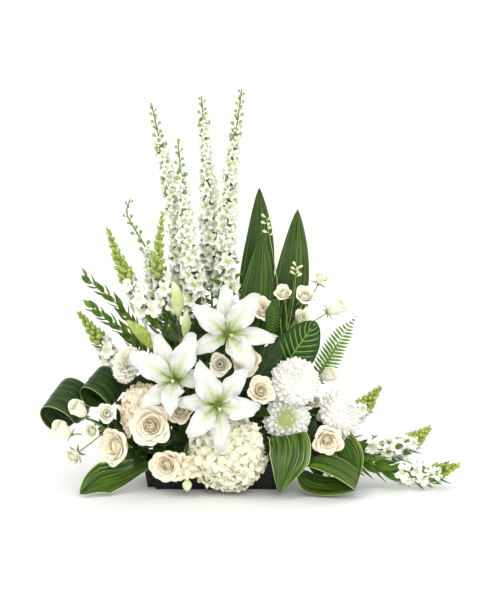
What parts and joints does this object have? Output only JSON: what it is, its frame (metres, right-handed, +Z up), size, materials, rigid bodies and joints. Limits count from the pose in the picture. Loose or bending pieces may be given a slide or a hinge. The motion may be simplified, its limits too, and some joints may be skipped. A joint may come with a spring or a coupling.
{
  "type": "flower arrangement",
  "caption": "One-sided arrangement of white lilies, roses, hydrangeas and tall flower spikes, with broad green leaves, in a low rectangular black tray.",
  "frame": {"origin": "middle of the tray's underside, on the surface that it stands on", "axes": "+Z up, +X along the tray's length, to the right as seen from the front, +Y from the front to the back, so the flowers face -Y"},
  "size_m": [0.7957, 0.3145, 0.7501],
  "materials": {
    "tray_black": "satin",
    "foam_green": "matte",
    "white_petal": "satin",
    "cream_petal": "satin",
    "ivory_floret": "satin",
    "spike_green": "satin",
    "stem_green": "satin",
    "dark_leaf": "satin",
    "striped_leaf": "satin",
    "fern_green": "satin"
  },
  "bodies": {
    "root": {"foam": "foam_green", "tray": "tray_black", "carnation": "white_petal", "chrysanthemum_1": "white_petal", "chrysanthemum_2": "white_petal", "chrysanthemum_3": "white_petal", "draped_leaf_far": "striped_leaf", "draped_leaf_left": "striped_leaf", "draped_leaf_right": "striped_leaf", "fern_frond_1": "fern_green", "fern_frond_2": "fern_green", "hydrangea_front": "ivory_floret", "hydrangea_left": "cream_petal", "larkspur_1": "spike_green", "larkspur_2": "spike_green", "larkspur_3": "spike_green", "larkspur_4": "spike_green", "larkspur_5": "spike_green", "leaf_sprig_1": "dark_leaf", "leaf_sprig_2": "dark_leaf", "leaf_sprig_3": "dark_leaf", "leafy_stem_1": "stem_green", "leafy_stem_2": "stem_green", "lily_bloom_a": "white_petal", "lily_bloom_b": "white_petal", "lily_bloom_c": "white_petal", "lily_stalk_a": "stem_green", "lily_stalk_b": "stem_green", "lily_stalk_c": "stem_green", "looped_leaf_1": "striped_leaf", "looped_leaf_2": "striped_leaf", "looped_leaf_3": "striped_leaf", "rose_7": "cream_petal", "rose_8": "cream_petal", "rose_bloom_1": "cream_petal", "rose_bloom_2": "cream_petal", "rose_bloom_3": "cream_petal", "rose_bloom_4": "cream_petal", "rose_bloom_5": "cream_petal", "rose_bloom_6": "cream_petal", "rose_stem_1": "stem_green", "rose_stem_2": "stem_green", "rose_stem_3": "stem_green", "rose_stem_4": "stem_green", "rose_stem_5": "stem_green", "rose_stem_6": "stem_green", "snapdragon_1": "spike_green", "snapdragon_2": "spike_green", "snapdragon_3": "spike_green", "snapdragon_4": "spike_green", "snapdragon_5": "spike_green", "snapdragon_6": "spike_green", "spray_rose_centre": "cream_petal", "spray_rose_left": "cream_petal", "spray_rose_right": "cream_petal", "upright_leaf_1": "dark_leaf", "upright_leaf_2": "dark_leaf", "upright_leaf_3": "dark_leaf", "veined_leaf_1": "dark_leaf", "veined_leaf_2": "dark_leaf"}
  },
  "joints": []
}
